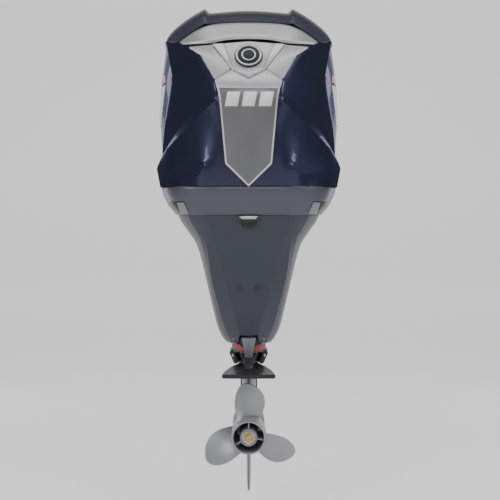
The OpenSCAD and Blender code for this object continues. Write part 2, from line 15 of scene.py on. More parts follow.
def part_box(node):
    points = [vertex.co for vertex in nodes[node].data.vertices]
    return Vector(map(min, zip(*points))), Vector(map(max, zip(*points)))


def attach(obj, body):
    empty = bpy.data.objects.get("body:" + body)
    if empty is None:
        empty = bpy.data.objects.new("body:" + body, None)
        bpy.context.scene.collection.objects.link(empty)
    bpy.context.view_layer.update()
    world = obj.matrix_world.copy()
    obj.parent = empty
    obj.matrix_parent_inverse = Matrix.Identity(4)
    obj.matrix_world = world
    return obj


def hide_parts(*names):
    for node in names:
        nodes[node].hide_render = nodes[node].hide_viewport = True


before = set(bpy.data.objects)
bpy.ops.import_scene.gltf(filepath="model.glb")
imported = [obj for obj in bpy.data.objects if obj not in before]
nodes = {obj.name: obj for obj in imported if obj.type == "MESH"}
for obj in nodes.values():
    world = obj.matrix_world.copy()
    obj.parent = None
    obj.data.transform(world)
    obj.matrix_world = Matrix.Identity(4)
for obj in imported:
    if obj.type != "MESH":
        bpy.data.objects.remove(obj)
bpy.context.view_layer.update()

# %% [markdown]
# ## Camera
# The motor is looked at straight from behind, at the height of the seam under the lower cowl.
# A long lens from three and a half metres keeps the cowl from looking bigger than the propeller.
# The lens axis dips a little, because more of the motor hangs below the seam than stands above it.

# %% Camera
SEAM_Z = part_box("apron")[1].z
EYE = Vector((0.0045, -3.53, SEAM_Z))
DIP = math.radians(2.25)


def place_camera(eye, dip, lens):
    """Put a camera at eye, looking forward along +Y and dip radians downward."""
    data = bpy.data.cameras.new("camera")
    data.lens = lens
    camera = bpy.data.objects.new("camera", data)
    bpy.context.scene.collection.objects.link(camera)
    camera.location = eye
    camera.rotation_euler = (math.radians(90) - dip, 0, 0)
    bpy.context.scene.camera = camera
    return camera


camera = place_camera(EYE, DIP, lens=63.3)
print("camera at", tuple(round(v, 3) for v in camera.location))

# %% [markdown]
# ## A small language for finishes
# A finish is a set of shader nodes. Written node by node it is hard to read,
# so a `Wire` wraps one socket, and sums and products of wires add their own Math nodes.
# A `Finish` holds one material and has one method that adds any other node.

# %% Wires and finishes
class Wire:
    """One output socket, with arithmetic that adds Math nodes."""

    def __init__(self, finish, socket):
        self.finish, self.socket = finish, socket

    def math(self, operation, *others):
        values = {i: other for i, other in enumerate(others)}
        return self.finish.node("ShaderNodeMath", {"operation": operation}, values)

    def __add__(self, other):
        return self.math("ADD", self, other)

    def __sub__(self, other):
        return self.math("SUBTRACT", self, other)

    def __rsub__(self, other):
        return self.math("SUBTRACT", other, self)

    def __mul__(self, other):
        return self.math("MULTIPLY", self, other)

    __radd__ = __add__
    __rmul__ = __mul__


class Finish:
    """One material, its shader and the tools to build it."""

    def __init__(self, name, **constants):
        self.material = bpy.data.materials.new(name)
        self.material.use_nodes = True
        self.tree = self.material.node_tree
        self.shader = self.tree.nodes["Principled BSDF"]
        for socket, value in constants.items():
            self.shader.inputs[socket.replace("_", " ")].default_value = value

    def node(self, kind, settings=None, inputs=None, output=0):
        made = self.tree.nodes.new(kind)
        for key, value in (settings or {}).items():
            setattr(made, key, value)
        for key, value in (inputs or {}).items():
            if isinstance(value, Wire):
                self.tree.links.new(value.socket, made.inputs[key])
            else:
                made.inputs[key].default_value = value
        return Wire(self, made.outputs[output])

    def place(self):
        """Coordinates that stay with the piece, in metres."""
        return self.node("ShaderNodeTexCoord", output="Object")

    def noise(self, scale, detail=3.0, rough=0.55):
        inputs = {"Vector": self.place(), "Scale": scale, "Detail": detail, "Roughness": rough}
        return self.node("ShaderNodeTexNoise", None, inputs, output="Fac")

    def band(self, value, low, high):
        """0 below low, 1 above high, smooth between."""
        inputs = {"Value": value, "From Min": low, "From Max": high}
        return self.node("ShaderNodeMapRange", {"interpolation_type": "SMOOTHSTEP"}, inputs)

    def mix(self, amount, first, second):
        """A colour between two colours."""
        inputs = {0: amount, 6: first, 7: second}
        return self.node("ShaderNodeMix", {"data_type": "RGBA"}, inputs, output=2)

    def feed(self, **wires):
        for socket, wire in wires.items():
            self.tree.links.new(wire.socket, self.shader.inputs[socket.replace("_", " ")])
        return self

    def bump(self, height, strength, distance):
        inputs = {"Height": height, "Strength": strength, "Distance": distance}
        return self.feed(Normal=self.node("ShaderNodeBump", None, inputs))


def grey(value, blue=0.0):
    """A neutral linear colour, with a little blue if asked."""
    return (value, value, value + blue, 1.0)


print("finish tools ready")

# %% [markdown]
# ## Metallic lacquer
# The cowl's navy is a dark pigment with fine metal flake under a thick clear coat.
# The flake is tiny cells that change how metallic and how rough the base is;
# the clear coat is constant, with a faint orange-peel wave in the normal.

# %% Navy lacquer
def navy_lacquer():
    f = Finish(
        "navy_lacquer", IOR=1.4, Coat_Roughness=0.07, Coat_Weight=0.3, Specular_Tint=(0.25, 0.3, 0.5, 1),
    )
    cells = f.node("ShaderNodeTexVoronoi", None, {"Vector": f.place(), "Scale": 900.0}, output="Color")
    sparkle = f.node("ShaderNodeSeparateColor", None, {"Color": cells})
    drift = f.noise(3.0, detail=2.0)
    base = f.mix(sparkle * 0.5 + drift * 0.5, (0.034, 0.029, 0.038, 1), (0.026, 0.038, 0.096, 1))
    f.feed(Base_Color=base, Metallic=sparkle * 0.15 + 0.65, Roughness=sparkle * 0.10 + 0.27)
    return f.bump(f.noise(90.0, detail=1.0), 0.06, 0.0004)


# %% [markdown]
# ## Satin slate paint
# The lower cowl, apron and visor are moulded covers in a satin slate grey with a trace of metal.
# Fine noise keeps the sheen from looking like a computer's, and a broad one tints it unevenly.

# %% Slate paint
def slate_satin(name, dark, light, metallic=0.35, rough=0.38):
    f = Finish(name, IOR=1.48, Coat_Roughness=0.25, Coat_Weight=0.25)
    broad = f.noise(4.0)
    grain = f.noise(700.0, detail=1.0)
    f.feed(Base_Color=f.mix(broad * 0.7 + grain * 0.3, dark, light), Roughness=grain * 0.12 + rough)
    f.shader.inputs["Metallic"].default_value = metallic
    return f.bump(grain, 0.05, 0.0003)


# %% [markdown]
# ## Silver panels
# Silver paint is all flake: nearly metallic, quite rough, and speckled when seen close.

# %% Silver paint
def silver_paint(name, light, rough=0.34):
    f = Finish(name, IOR=1.5, Coat_Roughness=0.18, Coat_Weight=0.35)
    speck = f.noise(1100.0, detail=1.0)
    cloud = f.noise(5.0, detail=2.0)
    dark = tuple(c * 0.72 for c in light[:3]) + (1.0,)
    f.feed(Base_Color=f.mix(speck * 0.6 + cloud * 0.4, dark, light), Roughness=speck * 0.16 + rough)
    f.shader.inputs["Metallic"].default_value = 0.8
    return f.bump(speck, 0.06, 0.0002)


# %% [markdown]
# ## Bare and painted metal
# Castings have a pebbled skin from the mould, and rub bright at their edges. Turned steel has fine rings.

# %% Metals, rubber and plastic
def cast_metal(name, dark, light, metallic, rough=0.45, pebble=260.0):
    f = Finish(name, IOR=1.5)
    skin = f.noise(pebble, detail=4.0)
    stain = f.noise(9.0, detail=3.0)
    worn = f.band(f.node("ShaderNodeNewGeometry", output="Pointiness"), 0.52, 0.60)
    body = f.mix(stain, dark, light)
    bright = tuple(min(1.0, c * 1.6 + 0.03) for c in light[:3]) + (1.0,)
    f.feed(Base_Color=f.mix(worn * 0.6, body, bright), Roughness=skin * 0.2 + rough - worn * 0.1)
    f.shader.inputs["Metallic"].default_value = metallic
    return f.bump(skin, 0.25, 0.0006)


def turned_steel(name, light, rough=0.22):
    f = Finish(name, IOR=2.0, Metallic=1.0)
    rings = f.noise(420.0, detail=2.0)
    smudge = f.noise(14.0, detail=3.0)
    dark = tuple(c * 0.6 for c in light[:3]) + (1.0,)
    f.feed(Base_Color=f.mix(smudge, dark, light), Roughness=rings * 0.2 + rough)
    return f.bump(rings, 0.08, 0.0002)


def matt_moulding(name, dark, light, rough=0.6, grain=500.0, strength=0.2):
    f = Finish(name, IOR=1.46)
    skin = f.noise(grain, detail=2.0)
    dust = f.noise(6.0, detail=4.0)
    f.feed(Base_Color=f.mix(dust, dark, light), Roughness=skin * 0.2 + rough)
    return f.bump(skin, strength, 0.0005)


def reflective_red():
    """Red strip with the honeycomb of a reflector under its face."""
    f = Finish("reflector_red", IOR=1.55, Coat_Weight=0.6, Coat_Roughness=0.1)
    cells = f.node("ShaderNodeTexVoronoi", None, {"Vector": f.place(), "Scale": 420.0}, output="Distance")
    f.feed(Base_Color=f.mix(cells, (0.36, 0.02, 0.03, 1), (0.62, 0.06, 0.08, 1)), Roughness=cells * 0.2 + 0.3)
    return f.bump(cells, 0.2, 0.0004)


NAVY = navy_lacquer()
SLATE = slate_satin("slate_satin", (0.056, 0.060, 0.082, 1), (0.072, 0.077, 0.102, 1))
SLATE_DEEP = slate_satin("slate_deep", (0.022, 0.026, 0.042, 1), (0.030, 0.035, 0.054, 1), 0.35, 0.40)
SLATE_DARK = slate_satin("slate_dark", (0.027, 0.030, 0.048, 1), (0.037, 0.041, 0.064, 1), 0.25, 0.42)
# Light slate for the latch levers, the tongue and the strip backing; on the apron slots' light patches it is
# painted highlight.
SLATE_LIGHT_AND_HIGHLIGHT = slate_satin("slate_light_and_highlight", (0.165, 0.175, 0.20, 1), (0.20, 0.21, 0.24, 1))
SILVER = silver_paint("silver_panel", grey(0.60, 0.008))
# A brighter copy of the silver paint, for the chevron frame, the tail's rim and the badge rings: painted
# highlight.
SILVER_HIGHLIGHT = silver_paint("silver_painted_highlight", grey(0.66, 0.01), 0.28)
SILVER_TAIL = silver_paint("silver_tail", grey(0.17, 0.008), 0.36)
SILVER_BRIGHT = silver_paint("silver_bright", grey(0.78, 0.0), 0.45)
# Black paint for the badge, the latch grip and the powerhead's covers; on the gearcase's plate, head and bar
# it is painted shade.
BLACK_PAINT_AND_SHADE = slate_satin("black_paint", grey(0.008, 0.003), grey(0.013, 0.004), 0.0, 0.46)
BLACK_PAINT_AND_SHADE.shader.inputs["Specular IOR Level"].default_value = 0.3
BRACKET_PAINT = cast_metal("bracket_paint", grey(0.075, 0.015), grey(0.11, 0.02), 0.3)
BLOCK_METAL = cast_metal("block_casting", grey(0.16), grey(0.24), 0.7, 0.5)
BARE_CASTING = cast_metal("bare_casting", grey(0.34), grey(0.44), 0.9, 0.42)
PROP_PAINT = slate_satin("propeller_paint", grey(0.26, 0.012), grey(0.33, 0.016), 0.5, 0.38)
STEEL = turned_steel("turned_steel", grey(0.62, 0.01))
IRON = turned_steel("turned_iron", grey(0.2), 0.4)
BRASS = turned_steel("brass", (0.62, 0.42, 0.16, 1), 0.3)
RUBBER = matt_moulding("rubber", grey(0.014), grey(0.03), 0.7, 800.0, 0.15)
# Black plastic for the mouldings; on the side latch patches and the apron slots' dark patches it is painted
# shade.
BLACK_PLASTIC_AND_SHADE = matt_moulding("black_plastic", grey(0.016), grey(0.03), 0.45, 650.0, 0.3)
ACETAL = matt_moulding("acetal", grey(0.6), grey(0.72), 0.4)
WHITE_PAINT = matt_moulding("filter_paint", grey(0.6), grey(0.66), 0.25, 900.0, 0.05)
RED = reflective_red()
print("finishes:", len([m for m in bpy.data.materials if m.use_nodes]))

# %% [markdown]
# ## Mesh tools
# Styled covers are designed as half a coarse cage of points, in millimetres, with some edges marked sharp.
# Mirroring, subdividing and thickening turn the cage into a shell, and the result is applied,
# so the piece holds real faces that later pieces can be fitted to.

# %% Mesh tools
MM = 0.001
COWL_MIDDLE = -0.22


def mm(point):
    return Vector(point) * MM


def link_mesh(name, mesh):
    piece = bpy.data.objects.new(name, mesh)
    bpy.context.scene.collection.objects.link(piece)
    return piece


def settle(piece):
    """Apply every modifier, so the mesh is what is seen."""
    graph = bpy.context.evaluated_depsgraph_get()
    mesh = bpy.data.meshes.new_from_object(piece.evaluated_get(graph))
    piece.modifiers.clear()
    piece.data = mesh
    return piece


def from_bmesh(name, make):
    """A piece from a bmesh, which is freed."""
    mesh = bpy.data.meshes.new(name)
    make.to_mesh(mesh)
    make.free()
    return link_mesh(name, mesh)


def bridge(make, loops):
    """Join each closed loop of vertices to the next with quads."""
    for low, high in zip(loops, loops[1:]):
        count = len(low)
        for k in range(count):
            make.faces.new([low[k], low[(k + 1) % count], high[(k + 1) % count], high[k]])


def fill_grid(make, rows):
    """Quads between rows of vertices that don't close on themselves."""
    for low, high in zip(rows, rows[1:]):
        for k in range(len(low) - 1):
            make.faces.new([low[k], low[k + 1], high[k + 1], high[k]])


def subdivide(piece, levels):
    finer = piece.modifiers.new("finer", "SUBSURF")
    finer.levels = finer.render_levels = levels
    return finer


def thicken(piece, thick):
    """Give a sheet a wall on its inner side, thick in millimetres."""
    wall = piece.modifiers.new("wall", "SOLIDIFY")
    wall.thickness, wall.offset = thick * MM, -1


def soften(piece, width, angle=30):
    """Round by width millimetres every edge that turns by more than angle."""
    edge = piece.modifiers.new("soft_edge", "BEVEL")
    edge.width, edge.segments, edge.limit_method = width * MM, 2, "ANGLE"
    edge.angle_limit = math.radians(angle)
    return edge


def smooth(piece, angle=35):
    """Smooth shading, with an edge left sharp where faces turn by more than angle."""
    mesh = piece.data
    mesh.shade_smooth()
    mesh.set_sharp_from_angle(angle=math.radians(angle))
    return piece


def face_outward(make):
    """Turn a mesh's faces away from the upright axis through the middle of the cowl."""
    axis = Vector((0, COWL_MIDDLE, 0))
    bmesh.ops.recalc_face_normals(make, faces=make.faces)
    total = 0.0
    for face in make.faces:
        away = face.calc_center_median() - axis
        away.z = 0
        total += face.calc_area() * face.normal.dot(away)
    if total < 0:
        bmesh.ops.reverse_faces(make, faces=make.faces)


def cage(name, points, faces, creases=(), thick=0.0, levels=3, mirror=True, angle=35, bevel=0.0):
    """A piece from named points in millimetres.

    A crease is (strength, point, point, ...), a chain of edges.
    """
    mesh = bpy.data.meshes.new(name)
    keys = list(points)
    index = {key: i for i, key in enumerate(keys)}
    mesh.from_pydata([mm(points[k]) for k in keys], [], [[index[k] for k in face] for face in faces])
    edges = {tuple(sorted(e.vertices)): e.index for e in mesh.edges}
    layer = mesh.attributes.new("crease_edge", "FLOAT", "EDGE")
    for strength, *chain in creases:
        for a, b in zip(chain, chain[1:]):
            edge = edges.get(tuple(sorted((index[a], index[b]))))
            if edge is None:
                raise ValueError(f"{name}: no edge from {a} to {b}")
            layer.data[edge].value = strength
    turn = bmesh.new()
    turn.from_mesh(mesh)
    face_outward(turn)
    turn.to_mesh(mesh)
    turn.free()
    piece = link_mesh(name, mesh)
    if mirror:
        half = piece.modifiers.new("mirror", "MIRROR")
        half.use_clip = True
        half.merge_threshold = 0.0005
    if levels:
        subdivide(piece, levels).boundary_smooth = "PRESERVE_CORNERS"
    if thick:
        thicken(piece, thick)
    if bevel:
        soften(piece, bevel)
    settle(piece)
    return smooth(piece, angle)


def net(rows):
    """Named points and faces for a grid of rows, keyed (row, column)."""
    points = {(r, c): p for r, row in enumerate(rows) for c, p in enumerate(row)}
    faces = [
        [(r, c), (r, c + 1), (r + 1, c + 1), (r + 1, c)]
        for r in range(len(rows) - 1)
        for c in range(len(rows[0]) - 1)
    ]
    return points, faces


def dress(piece, body, finish, slot, *stands_for):
    """Give a piece its finish and its body, and hide the nodes it stands for; the record slot is not used."""
    piece.data.materials.clear()
    piece.data.materials.append(finish.material)
    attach(piece, body)
    if stands_for:
        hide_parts(*stands_for)
    return piece


print("mesh tools ready")

# %% [markdown]
# ## Top cowl
# The navy shell's rear is faceted. A ridge runs from each side of the silver panel down and out
# to a flared corner. Above the ridge the flank is scooped; below it the shell stands proud as a bumper,
# with a wedge cut into its lower corner.
# A sharp line then separates the flank from the smooth side, which bulges and runs round to the front.

# %% Top cowl cage
COWL_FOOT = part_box("top_cowl")[0].z / MM

# Side of the shell, one line a level: height, half width, sharp line's X and Y, and the front's Y
SIDE_LEVELS = [
    (700, 302, 289, -430, 146), (640, 320, 277, -450, 164), (560, 330, 262, -470, 182),
    (480, 334, 278, -455, 190), (400, 330, 296, -440, 194), (305, 318, 303, -436, 192),
    (258, 335, 323, -436, 190), (COWL_FOOT, 318, 309, -452, 186),
]


def side_row(z, half, line_x, line_y, front):
    """Points of one level from the sharp line, along the side, to the middle of the front."""
    return [
        (line_x, line_y, z), (half, -290, z), (half * 0.99, -100, z), (half * 0.95, 0.30 * front, z),
        (half * 0.82, 0.76 * front, z), (half * 0.5, 0.96 * front, z), (0, front, z),
    ]


side_points, side_faces = net([side_row(*level) for level in SIDE_LEVELS])
rear_points = {
    # Middle of the rear, under the silver panels
    "m0": (0, -494, 752), "m1": (0, -552, 655), "m2": (0, -620, 540), "m3": (0, -636, 500),
    "m4": (0, -628, 400), "m5": (0, -612, 263), "m6": (0, -597, COWL_FOOT),
    # Edge of the silver panel
    "e0": (140, -494, 742), "e1": (200, -548, 652), "e2": (160, -570, 625), "e3": (117, -616, 540),
    "e4": (104, -630, 500), "e5": (88, -622, 380), "e6": (80, -610, 263), "e7": (80, -595, COWL_FOOT),
    # Scooped upper flank
    "f0": (240, -502, 684), "f1": (208, -522, 612), "f2": (196, -546, 536),
    # Upper and lower lines of the ridge
    "u0": (122, -624, 488), "u1": (222, -538, 415), "r0": (112, -640, 466), "r1": (206, -570, 392),
    "r2": (289, -468, 316),
    # Wedge in the bumper, and the bottom edge
    "w0": (125, -614, 298), "w1": (272, -508, 246), "w2": (166, -598, 222),
    "k1": (162, -590, COWL_FOOT), "k2": (250, -540, COWL_FOOT),
}
rear_faces = [
    ["m0", "e0", "e1", "m1"], ["m1", "e1", "e2"], ["m1", "e2", "e3", "m2"], ["m2", "e3", "e4", "m3"],
    ["m3", "e4", "r0", "e5", "m4"], ["m4", "e5", "e6", "m5"], ["m5", "e6", "e7", "m6"],
    ["e0", "f0", "e1"], ["e1", "f0", "f1", "e2"], ["f0", (0, 0), (1, 0), "f1"], ["e2", "f1", "f2", "e3"],
    ["f1", (1, 0), (2, 0), "f2"], ["e3", "f2", "u1", "u0"], ["e3", "u0", "e4"], ["f2", (2, 0), (3, 0), "u1"],
    ["u1", (3, 0), (4, 0)], ["u1", (4, 0), (5, 0)], ["e4", "u0", "r0"], ["u0", "u1", "r1", "r0"],
    ["u1", (5, 0), "r2", "r1"], ["r0", "r1", "w0", "e5"], ["r1", "r2", "w1", "w0"],
    ["r2", (5, 0), (6, 0), "w1"], ["e5", "w0", "e6"], ["e6", "w0", "w2", "k1", "e7"], ["w0", "w1", "w2"],
    ["w1", (6, 0), (7, 0), "k2"], ["w2", "w1", "k2", "k1"],
]
cowl_creases = [
    (1.0, *[(r, 0) for r in range(8)]), (0.8, "e3", "f2", (2, 0)), (1.0, "u0", "u1", (5, 0)),
    (1.0, "r0", "r1", "r2"), (1.0, "w0", "w1", "w2", "w0"), (0.9, "w2", "k1"), (0.9, "w1", (6, 0)),
    (0.7, *[(5, c) for c in range(3)]), (0.7, *[(6, c) for c in range(3)]), (1.0, "r2", (5, 0)),
    (0.9, "e1", "e2", "e3", "e4"), (0.8, "e4", "r0", "e5", "e6", "e7"),
]
top_cowl = cage(
    "top_cowl_shell", {**side_points, **rear_points}, side_faces + rear_faces, cowl_creases, thick=4.5,
    levels=3, angle=22,
)
dress(top_cowl, "cowl", NAVY, "navy_gloss", "top_cowl")
print("top cowl faces", len(top_cowl.data.polygons))

# %% [markdown]
# ## Visor
# The slate cap over the cowl. Two rails rise along its sides and end in slanted tips at the rear;
# the middle is a shallow dome between them.
# It is drawn as a net of rows from the rear lip over the top to the front.

# %% Visor net
RAIL_Z = 700
visor_rows = [
    [(0, -497, 757), (138, -494, 750), (150, -493, 750), (200, -496, 720),
     (240, -503, 687), (264, -468, 690), (289, -430, 700)],
    [(0, -478, 781), (138, -470, 774), (152, -474, 780), (205, -468, 754),
     (246, -462, 716), (282, -430, 704), (292, -422, RAIL_Z)],
    [(0, -440, 804), (139, -436, 794), (153, -440, 806), (208, -430, 783),
     (250, -422, 752), (287, -400, 726), (297, -392, RAIL_Z)],
    [(0, -300, 847), (142, -292, 832), (160, -300, 850), (216, -300, 816),
     (260, -298, 783), (295, -290, 752), (304, -288, RAIL_Z)],
    [(0, -120, 853), (140, -120, 840), (156, -120, 852), (215, -115, 820),
     (260, -110, 784), (292, -102, 750), (301, -100, RAIL_Z)],
    [(0, 60, 808), (130, 56, 798), (145, 54, 804), (200, 48, 780),
     (243, 42, 756), (272, 40, 728), (286, 40, RAIL_Z)],
    [(0, 140, 740), (110, 134, 738), (126, 132, 738), (180, 122, 732),
     (222, 104, 720), (250, 72, 708), (262, 68, RAIL_Z)],
    [(0, 148, RAIL_Z), (110, 144, RAIL_Z), (126, 142, RAIL_Z), (180, 132, RAIL_Z),
     (224, 110, RAIL_Z), (248, 84, RAIL_Z), (261, 69, RAIL_Z)],
]
visor_points, visor_faces = net(visor_rows)
last = len(visor_rows) - 1
visor_creases = [
    (0.9, *[(r, 1) for r in range(last)]), (0.9, *[(r, 2) for r in range(last)]),
    (1.0, *[(0, c) for c in range(7)]), (0.9, *[(1, c) for c in range(7)]), (0.8, (0, 1), (0, 2)),
    (0.9, (1, 4), (2, 4), (3, 4)),
]
visor = cage("visor_shell", visor_points, visor_faces, visor_creases, thick=4, levels=3, angle=25)
dress(visor, "cowl", SLATE_DARK, "slate_paint", "cowl_visor")
print("visor faces", len(visor.data.polygons))

# %% [markdown]
# ## Silver crescent
# A bright trim that follows the rear lip of the visor from corner to corner, thick in the middle.
# It is a bent strip of pressed metal-effect plastic, clipped over the joint.

# %% Crescent
crescent_rows = [
    [(0, -492, 753), (75, -491, 752), (143, -490, 746), (195, -496, 719), (236, -502, 684)],
    [(0, -505, 749), (76, -504, 748), (140, -504, 741), (190, -510, 715), (231, -506, 682)],
    [(0, -548, 696), (80, -549, 693), (118, -553, 679), (162, -548, 678), (226, -513, 677)],
    [(0, -545, 687), (82, -546, 684), (116, -550, 671), (160, -546, 670), (224, -513, 674)],
]
crescent_points, crescent_faces = net(crescent_rows)
crescent = cage(
    "crescent", crescent_points, crescent_faces,
    [(0.9, *[(1, c) for c in range(5)]), (0.9, *[(2, c) for c in range(5)]), (0.6, (1, 2), (2, 2))],
    thick=5, levels=3,
)
dress(crescent, "cowl", SILVER, "silver_paint", "crescent_trim")
print("crescent faces", len(crescent.data.polygons))

# %% [markdown]
# ## Silver tie panel
# The panel runs down the middle of the rear, wide under the crescent, narrowing to a long tail.
# Its face is a set of flat facets: a frame shaped like a chevron, a recess inside it for the badge,
# and a darker tail with a rim. The chevron frame and the rim are drawn in a brighter copy of the silver,
# which is painted highlight. The panel lies on the cowl, so its depth follows the rear's profile.

# %% Tie panel
PLATE_BACK = 8
REAR_PROFILE = [(COWL_FOOT - 3, -600), (263, -616), (479, -638), (510, -640), (628, -579), (665, -560)]


def rear_y(z, proud=0.0):
    """Y of the panel's base plane at height z, in millimetres, moved out by proud."""
    for (z0, y0), (z1, y1) in zip(REAR_PROFILE, REAR_PROFILE[1:]):
        if z <= z1:
            break
    return y0 + (y1 - y0) * (z - z0) / (z1 - z0) - proud


def plate(name, outline, inner, proud, finish, bevel=1.2, stands_for=()):
    """A faceted plate on the rear. Outline and inner faces are named (x, z) points of the right half."""
    points = {key: (x, rear_y(z, proud), z) for key, (x, z) in outline.items()}
    piece = cage(name, points, inner, levels=0, mirror=True, thick=PLATE_BACK, bevel=bevel, angle=25)
    return dress(piece, "cowl", finish, "silver_paint", *stands_for)


tail_points = {
    "a": (0, 538), "b": (58, 570), "c": (111, 535), "d": (103, 508), "e": (97, 479), "f": (0, 479),
    "g": (78, 263), "h": (0, 263), "i": (0, COWL_FOOT - 3), "d0": (0, 508),
}
plate(
    "tie_neck", {k: tail_points[k] for k in ("a", "b", "c", "d", "d0")}, [["a", "b", "c", "d", "d0"]],
    7.0, SILVER, bevel=2.0, stands_for=("tie_panel",),
)
# The rim is drawn in the brighter silver: painted highlight along the tail's edges.
plate(
    "tie_rim", {k: tail_points[k] for k in ("d0", "d", "e", "f", "g", "h", "i")},
    [["d0", "d", "e", "f"], ["f", "e", "g", "h"], ["h", "g", "i"]], 6.0, SILVER_HIGHLIGHT, bevel=3.0,
)
inset_points = {
    "a": (0, 507), "b": (96.5, 507), "c": (91, 479), "d": (0, 479), "e": (72, 266), "f": (0, 266),
    "g": (0, COWL_FOOT + 5),
}
plate(
    "tie_tail", inset_points, [["a", "b", "c", "d"], ["d", "c", "e", "f"], ["f", "e", "g"]],
    8.0, SILVER_TAIL, bevel=1.5,
)
base_points = {
    "a": (0, 668), "b": (120, 664), "c": (190, 652), "d": (158, 629), "e": (109, 538), "f": (99, 508),
    "g": (0, 508),
}
plate("tie_base", base_points, [["a", "b", "e", "f", "g"], ["b", "c", "d", "e"]], 4.5, SILVER)
shoulder_points = {"b": (59, 577), "c": (125, 663), "d": (199, 655), "e": (161, 628), "f": (113, 541)}
plate("tie_shoulder", shoulder_points, [["b", "c", "d", "e"], ["b", "e", "f"]], 9.0, SILVER, bevel=2.0)
chevron_points = {
    "a": (0, 546), "b": (57, 577), "c": (122, 665), "d": (84, 668), "e": (54, 582), "f": (0, 561),
}
# The chevron frame is the same silver as the panel; its brighter copy is painted highlight.
plate(
    "tie_chevron", chevron_points, [["a", "b", "e", "f"], ["b", "c", "d", "e"]], 13.0, SILVER_HIGHLIGHT, bevel=3.0,
)
recess_points = {"a": (0, 561), "b": (54, 582), "c": (84, 668), "d": (0, 676)}
plate("tie_recess", recess_points, [["a", "b", "c", "d"]], 6.0, SILVER)
print("tie panel plates done")

# %% [markdown]
# The badge is a stack of round discs in the recess, with two plain rings and no mark.

# %% Badge
def disc(name, radius, depth, place, lean, rim=0.0, steps=48, proud=0.0):
    """A round button with a stepped rim, leaning back by lean degrees."""
    profile = [(radius - rim, depth)]
    if rim:
        profile += [(radius - rim, depth + proud), (radius, depth + proud)]
    profile += [(radius, 0)]
    turns = [2 * math.pi * k / steps for k in range(steps)]
    make = bmesh.new()
    loops = [[make.verts.new(mm((r * math.cos(t), -h, r * math.sin(t)))) for t in turns] for r, h in profile]
    make.faces.new(loops[0])
    bridge(make, loops)
    bmesh.ops.recalc_face_normals(make, faces=make.faces)
    piece = from_bmesh(name, make)
    piece.location = mm(place)
    piece.rotation_euler = (math.radians(-lean), 0, 0)
    soften(piece, 0.8)
    settle(piece)
    return smooth(piece, 30)


BADGE_Z = 621
BADGE_LEAN = 29
badge_place = (0, rear_y(BADGE_Z, 8), BADGE_Z)
for name, radius, depth, rim, finish, slot, stands_for in (
    ("badge_edge", 47, 4, 0, BLACK_PAINT_AND_SHADE, "black_paint", ("rear_badge",)),
    ("badge_ring", 43, 6, 5, SILVER_HIGHLIGHT, "silver_paint", ()),
    ("badge_face", 37, 7, 0, BLACK_PAINT_AND_SHADE, "black_paint", ()),
    ("badge_inner_ring", 24, 8, 4, SILVER_HIGHLIGHT, "silver_paint", ()),
    ("badge_centre", 19, 9, 0, BLACK_PAINT_AND_SHADE, "black_paint", ()),
):
    badge = disc(name, radius, depth, badge_place, BADGE_LEAN, rim=rim, proud=1.0 if rim else 0.0)
    dress(badge, "cowl", finish, slot, *stands_for)
print("badge done")

# %% [markdown]
# Three plain slanted bars stand on the tail, light against its grey.

# %% Bars on the tail
BAR_LOW, BAR_HIGH, BAR_SLANT, BAR_WIDTH = 449, 496, 9, 42
for number, left in enumerate((-78, -23, 32)):
    corners = {
        "a": (left, BAR_LOW), "b": (left + BAR_WIDTH, BAR_LOW),
        "c": (left + BAR_WIDTH + BAR_SLANT, BAR_HIGH), "d": (left + BAR_SLANT, BAR_HIGH),
    }
    points = {key: (x, rear_y(z, 10.5), z) for key, (x, z) in corners.items()}
    bar = cage(f"tail_bar_{number + 1}", points, [list(points)], levels=0, mirror=False, thick=4, bevel=0.8)
    dress(bar, "cowl", SILVER_BRIGHT, "silver_paint")
print("bars done")

# %% [markdown]
# ## Patches
# Trim, latches and small marks lie on a curved skin. A patch is a four-cornered grid thrown onto a piece,
# either from behind or from one side, lifted a little and thickened.

# %% Patches thrown onto a skin
BEHIND, BESIDE = -900, 600
SIDES = ((1, "stbd"), (-1, "port"))


def skin_of(piece):
    """A piece's faces as a tree that rays can be cast at."""
    graph = bpy.context.evaluated_depsgraph_get()
    return BVHTree.FromObject(piece, graph)


def patch(name, skin, corners, lift, thick, side=None, fine=10):
    """A patch whose corners go round as (x, z) seen from behind, or as (y, z) seen from a side.

    Side is +1 for starboard and -1 for port.
    """
    make = bmesh.new()
    way = Vector((-side, 0, 0)) if side else Vector((0, 1, 0))
    a, b, c, d = [Vector(corner) for corner in corners]
    grid = []
    for i in range(fine + 1):
        row = []
        for j in range(fine + 1):
            u, v = j / fine, i / fine
            flat = (a * (1 - u) + b * u) * (1 - v) + (d * (1 - u) + c * u) * v
            start = (side * BESIDE, flat[0], flat[1]) if side else (flat[0], BEHIND, flat[1])
            hit = skin.ray_cast(mm(start), way)[0]
            if hit is None:
                raise ValueError(f"{name}: no skin behind {flat}")
            row.append(make.verts.new(hit - way * lift * MM))
        grid.append(row)
    fill_grid(make, grid)
    for face in make.faces:
        face.normal_update()
    if sum(face.normal.dot(way) for face in make.faces) > 0:
        bmesh.ops.reverse_faces(make, faces=make.faces)
    piece = from_bmesh(name, make)
    thicken(piece, thick)
    soften(piece, 0.7, 50)
    settle(piece)
    return smooth(piece, 35)


cowl_skin = skin_of(top_cowl)
for side, word in SIDES:
    silver = patch(
        f"side_accent_{word}", cowl_skin, [(-345, 420), (-190, 412), (-150, 566), (-380, 556)], 2.0, 3.0, side
    )
    dress(silver, "cowl", SILVER, "silver_paint", *(("side_accents",) if side == 1 else ()))
    stripe = patch(
        f"side_stripe_{word}", cowl_skin, [(-380, 566), (-150, 576), (-150, 600), (-372, 592)], 2.0, 3.0, side
    )
    dress(stripe, "cowl", RED, "red_strip")
print("side accents done")

